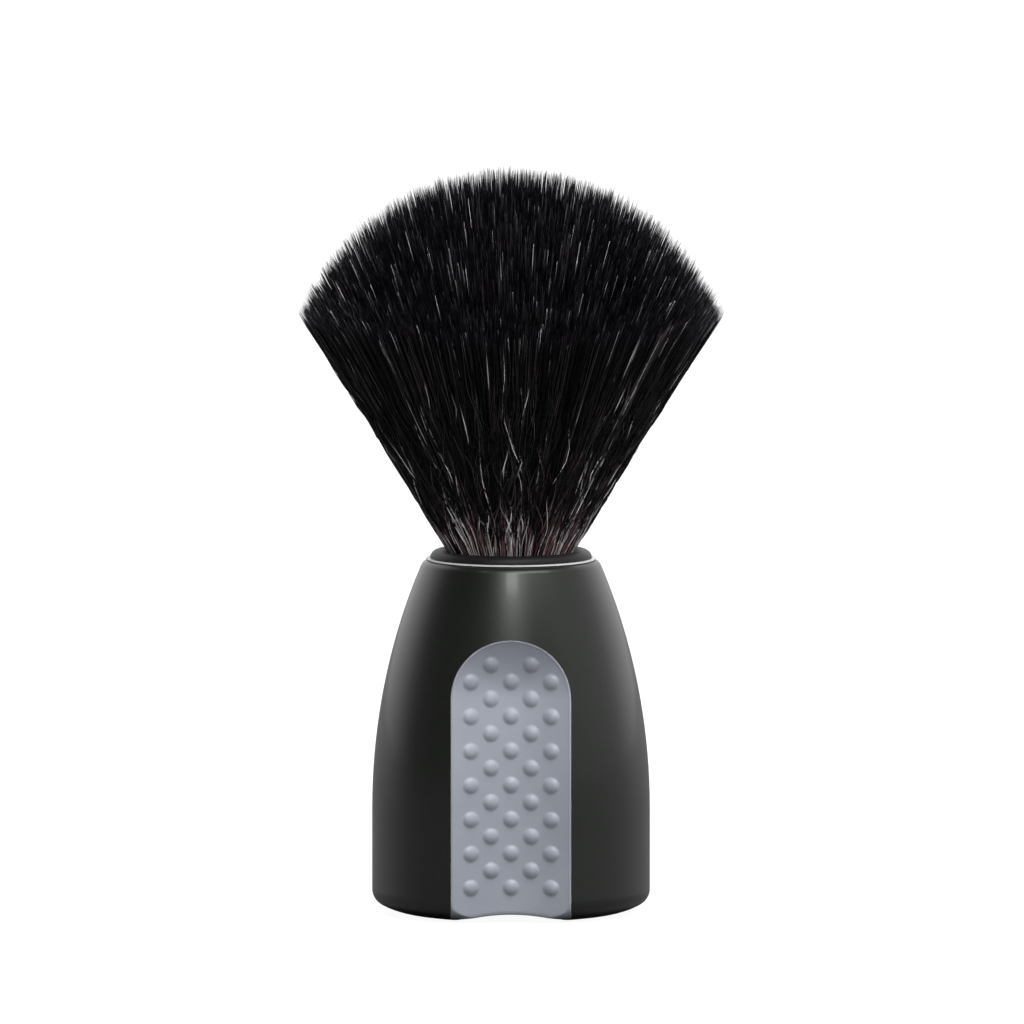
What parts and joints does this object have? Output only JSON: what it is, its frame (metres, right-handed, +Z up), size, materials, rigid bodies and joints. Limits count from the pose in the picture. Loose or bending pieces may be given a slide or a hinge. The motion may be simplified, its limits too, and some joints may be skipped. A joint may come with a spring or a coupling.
{
  "type": "shaving brush",
  "caption": "Shaving brush with a fan-shaped dark fibre knot in a screw-in cup on a short tapered handle with studded soft grips front and back.",
  "frame": {"origin": "centre of the foot ring, on the surface that the brush stands on", "axes": "+Z up along the brush axis towards the fibre tips; the front grip faces -Y; +X to the right seen from the front"},
  "size_m": [0.0606, 0.0606, 0.1075],
  "materials": {
    "handle_plastic": "satin lacquered dark anthracite plastic with a fine metallic grain",
    "grip_rubber": "soft matt grey elastomer",
    "collar_plastic": "glossy black plastic",
    "cup_plastic": "moulded black plastic",
    "base_plastic": "fine-textured black plastic",
    "seal_rubber": "black seal rubber",
    "seal_silicone": "pale translucent silicone",
    "brass": "turned brass",
    "stud_metal": "turned aluminium",
    "ballast_steel": "phosphated steel",
    "zinc_steel": "zinc-plated steel",
    "resin": "cured amber resin",
    "thread": "waxed polyester thread",
    "fibre": "black synthetic fibre, brown where thin light comes through"
  },
  "bodies": {
    "handle": {"handle_shell": "handle_plastic", "front_grip": "grip_rubber", "rear_grip": "grip_rubber", "thread_insert": "brass", "ballast_weight": "ballast_steel", "ballast_washer": "zinc_steel", "ballast_screw": "zinc_steel", "base_gasket": "seal_rubber", "base_cap": "base_plastic"},
    "seal_carrier": {"head_seal": "seal_silicone"},
    "head": {"knot_cup": "cup_plastic", "threaded_stud": "stud_metal", "collar_ring": "collar_plastic", "resin_plug": "resin", "binding_thread": "thread", "fibre_neck": "fibre"},
    "fan": {"fibre_fan": "fibre"}
  },
  "joints": [
    {"name": "head_lift", "type": "slide", "parent": "handle", "child": "seal_carrier", "axis": [0, 0, 1], "range_m": [0, 0.0075]},
    {"name": "head_turn", "type": "hinge", "parent": "seal_carrier", "child": "head", "pos_m": [0, 0, 0.0344], "axis": [0, 0, 1], "range_deg": [0, 1800]},
    {"name": "knot_flex", "type": "hinge", "parent": "head", "child": "fan", "pos_m": [0, 0, 0.05], "axis": [0, 1, 0], "range_deg": [-30, 30], "stiffness_Nm_per_rad": 0.08}
  ],
  "couplings": [
    {"joint": "head_lift", "follows": "head_turn", "m_per_rad": 0.00023873}
  ]
}
